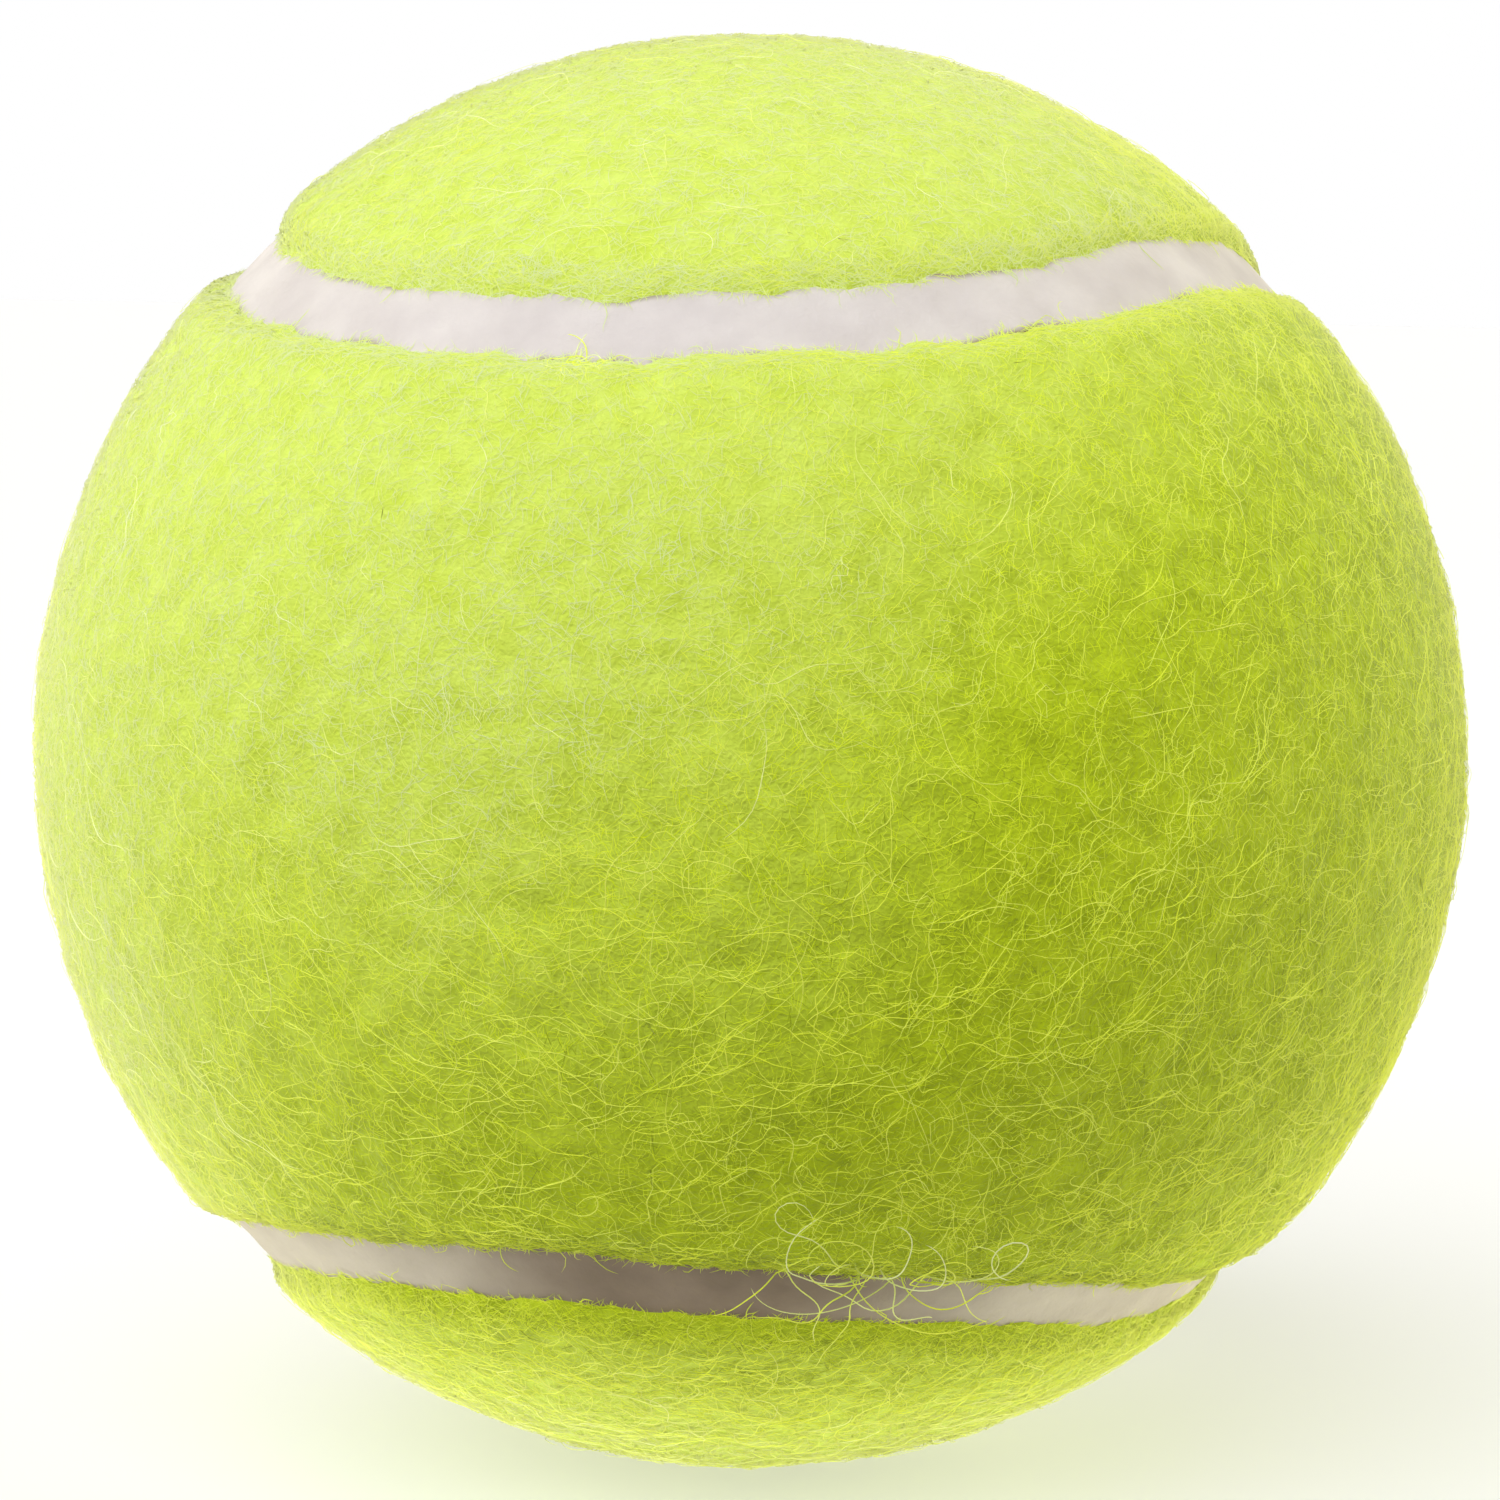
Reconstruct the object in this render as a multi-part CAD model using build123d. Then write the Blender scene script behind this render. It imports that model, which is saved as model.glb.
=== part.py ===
"""Tennis ball: a hollow rubber core under two dumbbell panels of felt, joined by a rubber seam.

The origin is the ball's centre and +Z is up. The front panel's waist faces -Y and its round ends
reach past +X and -X. The back panel is the same shape, turned: its waist faces +Y and its ends
reach over the top and underneath.
"""

import os
from math import atan, atan2, cos, degrees, sin, sqrt, tan

from build123d import *

# Layers from the inside out, in millimetres
CORE_DIAMETER = 60.0  # outside of the moulded rubber core
CORE_WALL = 3.4  # wall of each half shell of the core
CORE_COAT = 0.2  # rubber solution that covers the whole core
FELT_BACKING = 0.3  # rubberised back of each felt panel
FELT_THICKNESS = 3.0  # woven cloth with its raised nap

# Cemented joint between the two halves of the core
JOINT_FILM = 0.3  # cement left between the two rims
JOINT_BEAD_WIDTH = 2.4  # cement squeezed out along the inside of the joint
JOINT_BEAD_HEIGHT = 0.5

# Seam curve, measured round the ball over the felt
PANEL_WAIST = 45.0  # from seam to seam across a panel's waist
FLANK_LENGTH = 23.6  # straight run of the seam between two round ends

# Channel between the panels, and the seam that fills it
PANEL_GAP = 2.4  # between the cut edges of the two panels
FELT_EDGE_RADIUS = 2.6  # roll of the felt down into the channel
FELT_EDGE_SHARE = 0.9  # largest part of the felt's thickness that the roll may take
SEAM_RECESS = 1.1  # top of the seam below the felt
CUT_MARGIN = 1.0  # how far the channel's tool reaches past the layers that it cuts

core_radius = CORE_DIAMETER / 2
cavity_radius = core_radius - CORE_WALL
coat_radius = core_radius + CORE_COAT
backing_radius = coat_radius + FELT_BACKING
ball_radius = backing_radius + FELT_THICKNESS
seam_radius = ball_radius - SEAM_RECESS

CENTRE = (0, 0, 0)
# The cut layers' poles and closing edges lie in the back panel, clear of the seam.
PANEL_LAY = Plane(origin=CENTRE, x_dir=(0, 1, 0), z_dir=(0, 0, 1))
# The whole coat's poles lie in the middles of the two waists.
COAT_LAY = Plane.XZ
# A half turn about this axis, through the middle of a flank, swaps the two panels.
PANEL_SWAP = Axis(CENTRE, (1, 0, 1))


def ball(radius, lay=PANEL_LAY):
    """A solid ball about the centre."""
    return lay * Sphere(radius)


def layer(inner, outer, lay=PANEL_LAY):
    """A closed spherical layer."""
    return ball(outer, lay) - ball(inner, lay)


def on_circle(radius, height):
    """The point of a circle about the centre at a given height, on the +X side of the XZ plane."""
    return (sqrt(radius**2 - height**2), height)


def core_half():
    """Upper half shell of the core, with a flat rim that stops short of the joint plane."""
    rim = JOINT_FILM / 2
    mid_height = core_radius / 2
    inner_mid_height = cavity_radius / 2
    outline = (
        Line(on_circle(cavity_radius, rim), on_circle(core_radius, rim))
        + ThreePointArc(
            on_circle(core_radius, rim),
            on_circle(core_radius, mid_height),
            (0, core_radius),
        )
        + Line((0, core_radius), (0, cavity_radius))
        + ThreePointArc(
            (0, cavity_radius),
            on_circle(cavity_radius, inner_mid_height),
            on_circle(cavity_radius, rim),
        )
    )
    return revolve(Plane.XZ * make_face(outline), axis=Axis.Z)


def core_joint():
    """Ring of cement between the rims, with the bead that it leaves inside the core."""
    rim = JOINT_FILM / 2
    bead = JOINT_BEAD_WIDTH / 2
    lip = (rim + bead) / 2
    outline = (
        ThreePointArc(
            on_circle(core_radius, -rim), (core_radius, 0), on_circle(core_radius, rim)
        )
        + Line(on_circle(core_radius, rim), on_circle(cavity_radius, rim))
        + ThreePointArc(
            on_circle(cavity_radius, rim),
            on_circle(cavity_radius, lip),
            on_circle(cavity_radius, bead),
        )
        + ThreePointArc(
            on_circle(cavity_radius, bead),
            (cavity_radius - JOINT_BEAD_HEIGHT, 0),
            on_circle(cavity_radius, -bead),
        )
        + ThreePointArc(
            on_circle(cavity_radius, -bead),
            on_circle(cavity_radius, -lip),
            on_circle(cavity_radius, -rim),
        )
        + Line(on_circle(cavity_radius, -rim), on_circle(core_radius, -rim))
    )
    return revolve(Plane.XZ * make_face(outline), axis=Axis.Z)


def seam_arcs():
    """The eight arcs of the seam, each as its middle, its axis and half its turn.

    Four arcs go round the ends of the panels, and four straight flanks, which are great circles
    through the points midway between neighbouring ends, run tangent to them. Every axis points to
    the back panel's side of the seam.
    """
    waist = PANEL_WAIST / 2 / ball_radius
    flank = FLANK_LENGTH / 2 / ball_radius
    end = atan((sqrt(2) * cos(flank) - sin(waist)) / cos(waist))
    reach = waist + end
    half_turn = atan2(1, -cos(reach)) - atan(tan(flank) / sin(end))

    # One upper round end, and the flank that leaves it on the right
    top = Vector(0, -cos(reach), sin(reach))
    to_waist = Vector(0, -sin(reach), -cos(reach))
    to_right = Vector(1, 0, 0)
    touch = top * cos(end) + (to_waist * cos(half_turn) + to_right * sin(half_turn)) * sin(end)
    midway = Vector(1, 0, 1).normalized()
    flank_axis = touch.cross(midway).normalized()

    arcs = []
    for side in (1, -1):
        front_middle = Vector(0, -cos(waist), side * sin(waist))
        front_axis = Vector(0, -cos(reach), side * sin(reach))
        arcs.append((front_middle, front_axis, half_turn))
        back_middle = Vector(side * sin(waist), cos(waist), 0)
        back_axis = Vector(-side * sin(reach), -cos(reach), 0)
        arcs.append((back_middle, back_axis, half_turn))
        for rise in (1, -1):
            middle = Vector(side * midway.X, 0, rise * midway.Z)
            axis = Vector(side * flank_axis.X, flank_axis.Y, rise * flank_axis.Z)
            arcs.append((middle, axis, flank))
    return arcs


def channel_section():
    """Section across the channel: straight cut edges below, felt rolled over to the crown above."""
    half_gap = PANEL_GAP / 2
    roll = min(FELT_EDGE_RADIUS, FELT_EDGE_SHARE * FELT_THICKNESS)
    roll_reach = ball_radius - roll
    roll_centre = Vector(*reversed(on_circle(roll_reach, half_gap + roll)))
    to_crown = roll_centre.normalized()
    to_middle = (to_crown + Vector(-1, 0)).normalized()

    floor = Vector(half_gap, coat_radius - CUT_MARGIN)
    cut_edge = Vector(half_gap, roll_centre.Y)
    middle = roll_centre + to_middle * roll
    crown = to_crown * ball_radius
    over = Vector(crown.X, ball_radius + CUT_MARGIN)

    flank = Line(floor, cut_edge) + ThreePointArc(cut_edge, middle, crown) + Line(crown, over)
    lid = Line(over, (-over.X, over.Y))
    base = Line(floor, (-floor.X, floor.Y))
    return make_face(flank + lid + mirror(flank, Plane.YZ) + base)


def along_seam(section):
    """A section carried right round the seam, square to it and to the ball."""
    spans = []
    for middle, axis, half_turn in seam_arcs():
        ahead = axis.cross(middle).normalized()
        across = middle.cross(ahead)
        spin = Axis(CENTRE, axis)
        turn = degrees(half_turn)
        start = (Plane(origin=CENTRE, x_dir=across, z_dir=ahead) * section).rotate(spin, -turn)
        spans.append(revolve(start, axis=spin, revolution_arc=2 * turn))
    return spans[0].fuse(*spans[1:])


def panels(inner, outer, channel):
    """The front and the back piece of a layer that the channel cuts in two."""
    front = (layer(inner, outer) - channel).solids().sort_by(Axis.Y)[0]
    return front, front.rotate(PANEL_SWAP, 180)


upper_half = core_half()
channel = along_seam(channel_section())
front_backing, back_backing = panels(coat_radius, backing_radius, channel)
front_felt, back_felt = panels(backing_radius, ball_radius, channel)
seam = (channel & ball(seam_radius)) - ball(coat_radius)

nodes = {
    "core_half_upper": upper_half,
    "core_half_lower": mirror(upper_half, Plane.XY),
    "core_joint_cement": core_joint(),
    "core_coat": layer(core_radius, coat_radius, COAT_LAY),
    "felt_backing_front": front_backing,
    "felt_backing_back": back_backing,
    "felt_panel_front": front_felt,
    "felt_panel_back": back_felt,
    "seam_rubber": seam,
}

os.makedirs("parts", exist_ok=True)
for name, solid in nodes.items():
    export_step(solid, f"parts/{name}.step")
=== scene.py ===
"""Looks of the tennis ball: napped felt panels, stray fibres and a recessed rubber seam, in a white studio.

Lengths are in metres. The felt's base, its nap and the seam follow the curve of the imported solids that
they stand for, round a slightly narrower channel, with the ragged edges, tufts and fibres of used felt.
"""

from math import acos, atan, atan2, ceil, cos, pi, radians, sin, sqrt, tan
from typing import NamedTuple

import bpy
import numpy as np
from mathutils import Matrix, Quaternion, Vector


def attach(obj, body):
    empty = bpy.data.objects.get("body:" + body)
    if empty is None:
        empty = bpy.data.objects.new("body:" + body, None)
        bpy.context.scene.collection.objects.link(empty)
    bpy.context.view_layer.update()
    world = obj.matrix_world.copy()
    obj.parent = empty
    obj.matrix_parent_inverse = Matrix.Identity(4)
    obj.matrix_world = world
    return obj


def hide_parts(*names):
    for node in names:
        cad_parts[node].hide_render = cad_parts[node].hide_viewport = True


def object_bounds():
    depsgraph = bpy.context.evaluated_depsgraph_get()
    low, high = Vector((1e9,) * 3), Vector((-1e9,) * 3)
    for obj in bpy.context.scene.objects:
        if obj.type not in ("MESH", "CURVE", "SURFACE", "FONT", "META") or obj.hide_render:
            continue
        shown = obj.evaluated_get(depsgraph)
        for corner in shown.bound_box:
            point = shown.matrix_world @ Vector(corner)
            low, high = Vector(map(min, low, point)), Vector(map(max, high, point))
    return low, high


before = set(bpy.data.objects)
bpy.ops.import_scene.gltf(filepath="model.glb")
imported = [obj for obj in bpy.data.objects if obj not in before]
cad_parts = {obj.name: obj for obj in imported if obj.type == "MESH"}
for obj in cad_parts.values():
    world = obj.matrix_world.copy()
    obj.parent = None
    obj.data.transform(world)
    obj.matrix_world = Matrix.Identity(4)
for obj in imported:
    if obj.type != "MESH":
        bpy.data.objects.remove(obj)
cad_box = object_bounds()

MM = 0.001

# Ball and seam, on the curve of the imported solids
BALL_RADIUS = (cad_box[1].x - cad_box[0].x) / 2
BACKING_RADIUS = 30.5 * MM  # under the felt
COAT_RADIUS = 30.2 * MM  # under the seam
PANEL_WAIST = 45.0 * MM  # from seam to seam across a panel's waist
FLANK_LENGTH = 23.6 * MM  # straight run of the seam between two round ends
HALF_GAP = 0.62 * MM  # from the seam's middle to a panel's cut edge, under the nap
EDGE_ROLL = 2.6 * MM  # radius of the felt's roll down into the channel
SEAM_RECESS = 0.95 * MM  # of the seam's top below the ball's surface
SEAM_RADIUS = BALL_RADIUS - SEAM_RECESS
SEAM_TUCK = 0.25 * MM  # how far the seam runs in under the felt
SEAM_HOLLOW = 0.06 * MM  # how far the seam's top sinks in its middle
SEAM_LUMPS = ((3.0 * MM, 0.05 * MM), (0.8 * MM, 0.04 * MM))  # sizes and heights of its uneven top
SEAM_SPACING = 0.4 * MM  # between the seam's sections
SEAM_STEPS = 14  # across the seam's top
DARK_STRETCH_PLACE = (13.6, -35.0)  # azimuth and elevation of a darker stretch of seam
DARK_STRETCH_CORE = 4 * MM  # wholly dark this far from there
DARK_STRETCH_REACH = 17 * MM  # and plain from here on
SEAM_SHADE_DEPTHS = (0.2 * SEAM_RADIUS, 0.55 * SEAM_RADIUS)  # depths where the seam's painted shade starts, and is deepest
UNDERSIDE_SHADE = 0.25  # how far it is painted in shade there

# Felt base
NAP_DEPTH = 0.28 * MM  # the felt's base lies this far below the tops of its nap
ROLL_CENTRE = BALL_RADIUS - NAP_DEPTH - EDGE_ROLL  # radius at which the middle of its edge's roll lies
PANEL_CELLS = 116  # cells of the base along a quarter of the ball
GRID_AXIS = (1, 2, 3)  # the cells are turned about this, off the planes in which the seam is symmetric
GRID_TURN = 21.0  # degrees
RIM_SNAP = 0.35  # share of a cell within which a point moves out to the cut edge
LUMPS = ((2.6 * MM, 0.10 * MM), (1.1 * MM, 0.09 * MM))  # sizes and heights of the felt's lumps
RAGS = ((5.0 * MM, 0.20 * MM), (1.6 * MM, 0.30 * MM), (0.7 * MM, 0.20 * MM))  # of its uneven edge
RAG_OFFSET = 40 * MM  # takes the rags of the two panels from different places in the noise

# Sides where the felt is painted paler as painted light, and one painted darker as painted shade: azimuth
# and elevation, the shares of the radius toward that side at which it starts and is palest, and how pale it
# is there. A level below 0 makes painted shade.
PAINTED_LIGHT_SIDES = (
    (-25.0, 60.0, 0.3, 0.85, 1.0),
    (18.0, -80.0, 0.7, 1.0, 1.0),
    (-75.0, -20.0, 0.6, 0.95, 0.8),
    (-28.0, 2.0, 0.75, 1.0, 0.4),
    (8.0, 2.0, 0.85, 1.0, 0.4),
    (22.0, -28.0, 0.75, 1.0, -0.5),
)
BLOTCHES = ((9 * MM, 0.18), (4 * MM, 0.10))  # sizes of paler blotches, and how pale they are
LIGHT_AND_BLOTCH_SHARE = 0.55  # how far a fibre's tint follows the painted light and blotches at its place, and not chance


class Fibre(NamedTuple):
    """What the fibres of one kind are drawn from: ranges, and spreads of angles in radians."""

    points: int  # along the centre line
    length: tuple
    thickness: tuple
    bend: float  # steady turn from end to end
    wave: float  # wavering about that turn
    lift: tuple  # height of the arch over the felt
    fan: float = 0.0  # spread of the first heading
    chance: tuple = (0.0, 1.0)  # range of the part of the shade that is left to chance


# Nap
NAP = Fibre(
    points=3, length=(0.5 * MM, 1.7 * MM), thickness=(0.028 * MM, 0.045 * MM),
    bend=1.1, wave=0.5, lift=(0.05 * MM, 0.26 * MM),
)
NAP_COUNT = 190000
EDGE_NAP_COUNT = 24000  # more of it along the panels' edges
EDGE_NAP_REACH = (0.0, 1.0 * MM)  # of those roots from the seam
NAP_CLEAR = 0.02 * MM  # bare strip along the seam
CLOSE_CURL = 0.35  # how far nap that could reach the seam curls, against the rest
SEAM_TURN = 0.3  # how far a fibre that is turned off the seam heads inward

# Short fuzz and curled fringe along the panels' edges
FUZZ = Fibre(
    points=3, length=(0.25 * MM, 0.8 * MM), thickness=(0.03 * MM, 0.045 * MM),
    bend=0.8, wave=0.3, lift=(0.02 * MM, 0.12 * MM), fan=0.9, chance=(0.4, 1.0),
)
FUZZ_COUNT = 12000
FUZZ_REACH = (0.0, 0.45 * MM)  # of its roots from the seam
FRINGE = Fibre(
    points=8, length=(1.0 * MM, 2.4 * MM), thickness=(0.04 * MM, 0.06 * MM),
    bend=4.0, wave=0.5, lift=(0.05 * MM, 0.25 * MM), fan=1.0, chance=(0.5, 1.0),
)
FRINGE_COUNT = 800
FRINGE_REACH = (0.1 * MM, 1.4 * MM)

# Long stray fibres
STRAY = Fibre(
    points=12, length=(1.5 * MM, 7.5 * MM), thickness=(0.03 * MM, 0.052 * MM),
    bend=2.0, wave=0.7, lift=(0.15 * MM, 0.36 * MM),
)
STRAY_COUNT = 19000  # tried, of which chance keeps some
STRAY_KEPT = 0.5  # chance at the height of the ball's middle
STRAY_FALL = 0.8  # loss of chance over a radius upward
STRAY_LEAST = 0.2  # least chance, over the top
STRAY_PALE_LOSS = 0.7  # part of the chance that the felt painted palest loses
STRAY_CLEAR = 1.0 * MM  # a stray's root keeps this far from the seam
STRAY_ROOM = 2.0  # its greatest length against that distance

# Loose tufts
TUFT = Fibre(
    points=24, length=(4.0 * MM, 10.0 * MM), thickness=(0.06 * MM, 0.085 * MM),
    bend=3.8, wave=0.4, lift=(0.32 * MM, 1.0 * MM), fan=0.6,
)
SMALL_TUFT = TUFT._replace(length=(1.2 * MM, 2.6 * MM), lift=(0.096 * MM, 0.26 * MM))
LOOSE_TUFTS = (  # azimuth and elevation on the ball, fibres, their spread along the seam, and their kind
    (30.0, -35.0, 22, 2.2 * MM, TUFT),
    (1.9, 35.3, 16, 0.3 * MM, SMALL_TUFT),
)
TUFT_REACH = (0.2 * MM, 1.5 * MM)  # of its roots from the seam

# All fibres
SIDES = 3
TAPER = 0.45  # part of its thickness that a fibre loses toward its tip
WAVES = (1.5, 5.0)  # half waves along a fibre
ARCH_PART = (0.55, 0.95)  # part of a whole arch that a fibre goes through
ROOT_DEPTH = 0.06 * MM  # of a fibre's root in the felt
ROOT_SHARE = 0.45  # part of a fibre's length over which the colour of its root fades out
EDGE_SPACING = 0.05 * MM  # of the places along the seam from which roots are picked
NAP_ROUNDNESS = 0.5  # how far a fibre's own roundness shows against the felt's
STRAY_ROUNDNESS = 1.0
EDGE_SHADE = 0.4  # how far the roll of the felt's edge shows in its nap's shading
PIECE_POINTS = 36000  # most centre-line points that one piece of fibres has
MAP_SPAN = 0.99  # part of a fibre map's width that tints take
MAP_WIDTH = 0.008  # of one fibre on its map

# Camera, fitted to the photograph: the ball's outline and the line of its seam
PHOTO_SIZE = 1500  # pixels
FOCAL_PIXELS = 4975
SENSOR_WIDTH = 36.0  # millimetres, like the focal length
CAMERA_DISTANCE = 7 * BALL_RADIUS
CAMERA_AZIMUTH = 17.8
CAMERA_ELEVATION = 6.0
CAMERA_ROLL = 0.8
CLIP_START = 10 * MM

# Studio
WORLD_COLOUR = (1, 0.99, 0.86)
DIM_SIDE = Vector((0.26, -0.66, 0.70)).normalized()  # the surroundings' dark side
DIM_RANGE = (0.1, 0.9)  # cosines to that side where they start to darken, and are darkest
WORLD_LEVELS = (0.92, 0.12)  # away from that side, and toward it
FLOOR_HALF = 3.0  # half the length of its sides
FLOOR_DROP = 0.25 * MM  # room under the ball for its nap
FLOOR_COLOUR = (0.90, 0.88, 0.82)
FLOOR_DARK = (0.12, 0.11, 0.07)  # its colour in front of the ball, in the light that it throws up
FLOOR_CHANGE = (18 * MM, 50 * MM)  # distances toward the camera between which it darkens
FLOOR_GLOW = 0.6  # light that it gives off under and behind the ball
FLOOR_WHITE = 0.45  # part of what shows of the floor that is plain white
KEY_COLOUR = (0.94, 0.97, 1.15)
KEY_ENERGY = 3.0
KEY_SPREAD = 60.0  # degrees across
KEY_PLACE = (-9, 44)  # azimuth and elevation
KEY_DISTANCE = 0.6
SIDE_LAMPS = (("right", 0.55, 115), ("left", 0.1, -85))  # name, energy and azimuth
SIDE_LAMP_COLOUR = (1, 0.98, 0.75)
SIDE_LAMP_SIZE = 0.4
SIDE_LAMP_ELEVATION = 10
SIDE_LAMP_DISTANCE = 0.35


def unit(vectors):
    """Vectors scaled to length 1."""
    return vectors / np.linalg.norm(vectors, axis=-1, keepdims=True)


def dot(first, second):
    """Row-wise dot product, kept as a column."""
    return (first * second).sum(axis=-1, keepdims=True)


def direction(azimuth, elevation):
    """Direction from the ball's centre at angles in degrees; azimuth 0 is the front, 90 the right."""
    a, e = radians(azimuth), radians(elevation)
    return sin(a) * cos(e), -cos(a) * cos(e), sin(e)


def smooth(share):
    """Shares from 0 to 1, made to start and end gently."""
    return share * share * (3 - 2 * share)


def lattice_noise(points, seed):
    """Smooth random values from -1 to 1 at points in space, with lumps about one unit across."""
    value_count = 4096
    primes = np.array((73856093, 19349663, 83492791))  # scatter the lattice's places over the values
    values = np.random.default_rng(seed).uniform(-1, 1, value_count)
    low = np.floor(points).astype(np.int64)
    share = smooth(points - low)
    total = np.zeros(len(points))
    for corner in np.ndindex(2, 2, 2):
        weight = np.where(corner, share, 1 - share).prod(axis=1)
        place = np.bitwise_xor.reduce((low + corner) * primes, axis=1)
        total += weight * values[place % value_count]
    return total


def layered_noise(points, layers, seed):
    """Sum of noises at points in space, each layer given as its lump size and height."""
    return sum(
        height * lattice_noise(points / size, seed + number)
        for number, (size, height) in enumerate(layers)
    )


def seam_half_width():
    """Half the seam's visible width: where the felt's roll comes down to the seam's top."""
    rise = SEAM_RADIUS - ROLL_CENTRE * cos((HALF_GAP + EDGE_ROLL) / ROLL_CENTRE)
    return HALF_GAP + EDGE_ROLL - sqrt(EDGE_ROLL**2 - rise**2)


SEAM_HALF = seam_half_width()


def seam_arcs():
    """The eight arcs of the seam, each as its middle, its axis and half its turn.

    Four arcs go round the ends of the panels and four great-circle flanks join them. Every axis
    points to the back panel's side of the seam.
    """
    waist = PANEL_WAIST / 2 / BALL_RADIUS
    flank = FLANK_LENGTH / 2 / BALL_RADIUS
    end = atan((sqrt(2) * cos(flank) - sin(waist)) / cos(waist))
    reach = waist + end
    half_turn = atan2(1, -cos(reach)) - atan(tan(flank) / sin(end))

    top = np.array((0, -cos(reach), sin(reach)))
    to_waist = np.array((0, -sin(reach), -cos(reach)))
    to_right = np.array((1, 0, 0))
    touch = top * cos(end) + (to_waist * cos(half_turn) + to_right * sin(half_turn)) * sin(end)
    midway = unit(np.array((1, 0, 1)))
    flank_axis = unit(np.cross(touch, midway))

    arcs = []
    for side in (1, -1):
        front_middle = np.array((0, -cos(waist), side * sin(waist)))
        front_axis = np.array((0, -cos(reach), side * sin(reach)))
        arcs.append((front_middle, front_axis, half_turn))
        back_middle = np.array((side * sin(waist), cos(waist), 0))
        back_axis = np.array((-side * sin(reach), -cos(reach), 0))
        arcs.append((back_middle, back_axis, half_turn))
        for rise in (1, -1):
            middle = midway * (side, 0, rise)
            arcs.append((middle, flank_axis * (side, 1, rise), flank))
    return arcs


SEAM_ARCS = seam_arcs()


def arc_points(arc, turn):
    """Points of a seam arc at given turns from its middle, and the way across it to the front panel."""
    middle, axis, _ = arc
    height = middle @ axis
    start = middle - axis * height
    ahead = np.cross(axis, start)
    points = axis * height + np.outer(np.cos(turn), start) + np.outer(np.sin(turn), ahead)
    return points, unit(points * height - axis)


def nearest_seam(points):
    """For directions from the centre: distance from the seam's middle, nearest seam point, way across.

    The distance is measured round the ball, and is positive over the front panel.
    """
    overlap = 1e-6  # radians, so that no direction falls between two arcs
    distance = np.full(len(points), np.inf)
    foot = np.zeros_like(points)
    across = np.zeros_like(points)
    for arc in SEAM_ARCS:
        middle, axis, half_turn = arc
        start = middle - axis * (middle @ axis)
        turn = np.arctan2(points @ np.cross(axis, start), points @ start)
        away = np.arccos(np.clip(points @ axis, -1, 1)) - acos(middle @ axis)
        nearer = (np.abs(turn) < half_turn + overlap) & (np.abs(away) < np.abs(distance))
        distance[nearer] = away[nearer]
        foot[nearer], across[nearer] = arc_points(arc, turn[nearer])
    return distance * BALL_RADIUS, foot, across


def ragged(foot, side):
    """How far the felt's edge stands back from its cut line at seam points, on one side or the other."""
    beside = foot * BALL_RADIUS + np.multiply.outer(side, np.full(3, RAG_OFFSET))
    return layered_noise(beside, RAGS, seed=20)


def roll_height(distance):
    """Radius of the felt's outer surface at a distance from the seam's middle: rolled edge, then crown."""
    centre_angle = np.arcsin((HALF_GAP + EDGE_ROLL) / ROLL_CENTRE)
    angle = np.minimum(distance / BALL_RADIUS, centre_angle)
    along = ROLL_CENTRE * np.cos(centre_angle - angle)
    return along + np.sqrt(np.maximum(EDGE_ROLL**2 - ROLL_CENTRE**2 + along**2, 0))


def felt_lumps(points):
    """Heights of the felt's lumps in directions from the centre."""
    return layered_noise(points * BALL_RADIUS, LUMPS, seed=40)


def edge_lean(points):
    """How far the nap on a panel's rolled edge faces the seam, in directions from the centre."""
    distance, foot, across = nearest_seam(points)
    side = np.sign(distance)
    past = np.maximum(np.abs(distance) - ragged(foot, side), SEAM_HALF)
    step = 0.05 * MM
    slope = (roll_height(past + step) - roll_height(past)) / step
    return -across * (EDGE_SHADE * side * slope)[:, None]


def surface_height(points):
    """Radius of the felt, or of the seam where it shows, in directions from the centre."""
    distance, foot, _ = nearest_seam(points)
    side = np.sign(distance)
    past = np.abs(distance) - ragged(foot, side)
    felt = roll_height(np.maximum(past, HALF_GAP)) + felt_lumps(points)
    return np.where(past > HALF_GAP, np.maximum(felt, SEAM_RADIUS), SEAM_RADIUS)


def in_scene(name, data):
    """A new object in the scene that carries a mesh, a light or a camera."""
    thing = bpy.data.objects.new(name, data)
    bpy.context.scene.collection.objects.link(thing)
    return thing


def mesh_object(name, vertices, faces, material):
    """A smooth mesh object of faces that all have the same number of corners."""
    mesh = bpy.data.meshes.new(name)
    mesh.vertices.add(len(vertices))
    mesh.vertices.foreach_set("co", np.ascontiguousarray(vertices, np.float32).ravel())
    mesh.loops.add(faces.size)
    mesh.loops.foreach_set("vertex_index", np.ascontiguousarray(faces, np.int32).ravel())
    mesh.polygons.add(len(faces))
    mesh.polygons.foreach_set("loop_start", np.arange(0, faces.size, faces.shape[1], dtype=np.int32))
    mesh.polygons.foreach_set("use_smooth", np.ones(len(faces), bool))
    mesh.update(calc_edges=True)
    mesh.materials.append(material)
    return in_scene(name, mesh)


def ball_grid(cells):
    """Directions and four-cornered cells of a whole ball, laid out as six bulged squares."""
    steps = np.tan(np.linspace(-pi / 4, pi / 4, cells + 1))
    along, up = np.meshgrid(steps, steps, indexing="ij")
    corner = np.arange((cells + 1) ** 2).reshape(cells + 1, cells + 1)
    square = np.stack((corner[:-1, :-1], corner[1:, :-1], corner[1:, 1:], corner[:-1, 1:]), -1)
    points = []
    faces = []
    for axis in range(3):
        for side in (1, -1):
            patch = np.empty((cells + 1, cells + 1, 3))
            patch[..., axis] = side
            patch[..., (axis + 1) % 3] = along * side
            patch[..., (axis + 2) % 3] = up
            faces.append(square.reshape(-1, 4) + len(points) * corner.size)
            points.append(patch.reshape(-1, 3))
    points = unit(np.concatenate(points))

    # Points that neighbouring squares share are kept once
    _, first, same = np.unique(np.round(points, 7), axis=0, return_index=True, return_inverse=True)
    turned = np.array(Quaternion(Vector(GRID_AXIS).normalized(), radians(GRID_TURN)).to_matrix())
    return points[first] @ turned.T, same.ravel()[np.concatenate(faces)]


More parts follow.
